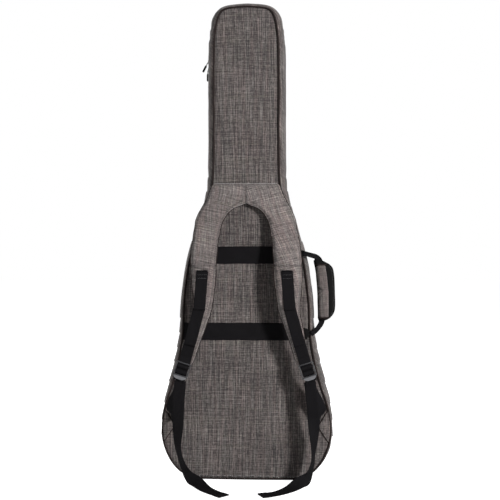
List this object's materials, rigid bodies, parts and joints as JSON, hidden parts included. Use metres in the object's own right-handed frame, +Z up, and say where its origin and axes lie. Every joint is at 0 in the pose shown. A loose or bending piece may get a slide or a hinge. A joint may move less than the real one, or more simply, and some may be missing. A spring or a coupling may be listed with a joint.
{
  "type": "padded gig bag",
  "caption": "Padded gig bag for an electric guitar: hinged front half with zip, foam walls, neck cradle, pockets, side grab handle and adjustable padded shoulder straps.",
  "frame": {"origin": "middle of the flat base that the bag stands on", "axes": "+Z up along the bag, -Y out of the back with the shoulder straps, +Y out of the pockets, +X to the side with the grab handle"},
  "size_m": [0.383, 0.3094, 1.0425],
  "materials": {
    "melange_fabric": "woven two-tone melange canvas, matt",
    "black_webbing": "ribbed woven webbing, matt",
    "black_sleeve": "smooth padded sleeve cloth, matt",
    "black_piping": "bound piping cord",
    "zip_tape": "woven tape with a nylon coil",
    "moulded_plastic": "moulded acetal with a satin skin",
    "black_metal": "black lacquered die casting",
    "closed_cell_foam": "closed cell foam",
    "grey_lining": "brushed lining cloth"
  },
  "bodies": {
    "root": {"back_panel": "melange_fabric", "back_foam": "closed_cell_foam", "back_lining": "grey_lining", "rear_gusset": "melange_fabric", "rear_gusset_foam": "closed_cell_foam", "rear_gusset_lining": "grey_lining", "rear_zip_tape": "zip_tape", "rear_piping": "black_piping", "upper_band": "black_webbing", "lower_band": "black_webbing", "yoke": "melange_fabric", "left_lower_webbing": "black_webbing", "right_lower_webbing": "black_webbing", "left_anchor_tab": "melange_fabric", "right_anchor_tab": "melange_fabric", "handle_patch_upper": "black_webbing", "handle_patch_lower": "black_webbing", "neck_cradle": "closed_cell_foam", "end_pin_bumper": "closed_cell_foam", "fabric_hinge": "black_webbing"},
    "lid": {"front_panel": "melange_fabric", "front_foam": "closed_cell_foam", "front_lining": "grey_lining", "front_gusset": "melange_fabric", "front_gusset_foam": "closed_cell_foam", "front_gusset_lining": "grey_lining", "front_zip_tape": "zip_tape", "front_piping": "black_piping", "body_pocket_gusset": "melange_fabric", "body_pocket_zip": "zip_tape", "neck_pocket_panel": "melange_fabric", "neck_pocket_zip": "zip_tape"},
    "left_strap": {"left_shoulder_pad": "melange_fabric", "left_pad_webbing": "black_webbing", "left_strap_tail": "black_webbing"},
    "right_strap": {"right_shoulder_pad": "melange_fabric", "right_pad_webbing": "black_webbing", "right_strap_tail": "black_webbing"},
    "left_lock": {"left_ladder_lock": "moulded_plastic"},
    "right_lock": {"right_ladder_lock": "moulded_plastic"},
    "handle": {"handle_grip": "black_sleeve", "handle_wrap": "melange_fabric", "handle_strap_upper": "black_webbing", "handle_strap_lower": "black_webbing"},
    "main_slider_a": {"main_upper_slider": "black_metal"},
    "main_pull_a": {"main_upper_pull": "black_metal"},
    "main_slider_b": {"main_lower_slider": "black_metal"},
    "main_pull_b": {"main_lower_pull": "black_metal"},
    "pocket_flap": {"body_pocket_panel": "melange_fabric"},
    "pocket_slider": {"body_pocket_slider": "black_metal"},
    "pocket_pull": {"body_pocket_pull": "black_metal"},
    "neck_slider": {"neck_pocket_slider": "black_metal"},
    "neck_pull": {"neck_pocket_pull": "black_metal"},
    "neck_strap": {"neck_strap": "black_webbing"}
  },
  "joints": [
    {"name": "lid_open", "type": "hinge", "parent": "root", "child": "lid", "pos_m": [0.1903, 0.012, 0.1], "axis": [0, 0, -1], "range_deg": [0, 170]},
    {"name": "left_strap_lift", "type": "hinge", "parent": "root", "child": "left_strap", "pos_m": [0, -0.0685, 0.603], "axis": [-1, 0, 0], "range_deg": [0, 20]},
    {"name": "right_strap_lift", "type": "hinge", "parent": "root", "child": "right_strap", "pos_m": [0, -0.0685, 0.603], "axis": [-1, 0, 0], "range_deg": [0, 20]},
    {"name": "left_lock_tilt", "type": "hinge", "parent": "left_strap", "child": "left_lock", "pos_m": [-0.1285, -0.1, 0.258], "axis": [-0.9511, 0, 0.309], "range_deg": [0, 35]},
    {"name": "right_lock_tilt", "type": "hinge", "parent": "right_strap", "child": "right_lock", "pos_m": [0.1285, -0.1, 0.258], "axis": [-0.9511, 0, -0.309], "range_deg": [0, 35]},
    {"name": "handle_swing", "type": "hinge", "parent": "root", "child": "handle", "pos_m": [0.1346, -0.0562, 0.4065], "axis": [0.095, 0, -0.9955], "range_deg": [-10, 15]},
    {"name": "main_upper_travel", "type": "slide", "parent": "root", "child": "main_slider_a", "axis": [0, 0, 1], "range_m": [0, 0.04]},
    {"name": "main_lower_travel", "type": "slide", "parent": "root", "child": "main_slider_b", "axis": [0, 0, -1], "range_m": [0, 0.18]},
    {"name": "main_upper_pull_swing", "type": "hinge", "parent": "main_slider_a", "child": "main_pull_a", "pos_m": [-0.0898, 0.012, 0.9185], "axis": [0, 1, 0], "range_deg": [-18, 110]},
    {"name": "main_lower_pull_swing", "type": "hinge", "parent": "main_slider_b", "child": "main_pull_b", "pos_m": [-0.0898, 0.012, 0.9005], "axis": [0, 1, 0], "range_deg": [0, 50]},
    {"name": "pocket_flap_open", "type": "hinge", "parent": "lid", "child": "pocket_flap", "pos_m": [0, 0.0796, 0.0215], "axis": [-1, 0, 0], "range_deg": [0, 70]},
    {"name": "pocket_slider_travel", "type": "slide", "parent": "lid", "child": "pocket_slider", "axis": [0, 0, 1], "range_m": [0, 0.03]},
    {"name": "pocket_pull_swing", "type": "hinge", "parent": "pocket_slider", "child": "pocket_pull", "pos_m": [-0.12341, 0.0782, 0.3885], "axis": [0, 1, 0], "range_deg": [0, 130]},
    {"name": "neck_slider_travel", "type": "slide", "parent": "lid", "child": "neck_slider", "axis": [0, 0, -1], "range_m": [0, 0.22]},
    {"name": "neck_pull_swing", "type": "hinge", "parent": "neck_slider", "child": "neck_pull", "pos_m": [0.049, 0.0635, 0.8935], "axis": [1, 0, 0], "range_deg": [0, 130]},
    {"name": "neck_strap_lift", "type": "hinge", "parent": "root", "child": "neck_strap", "pos_m": [-0.06, -0.005, 0.6275], "axis": [0, 0, 1], "range_deg": [0, 14]}
  ]
}
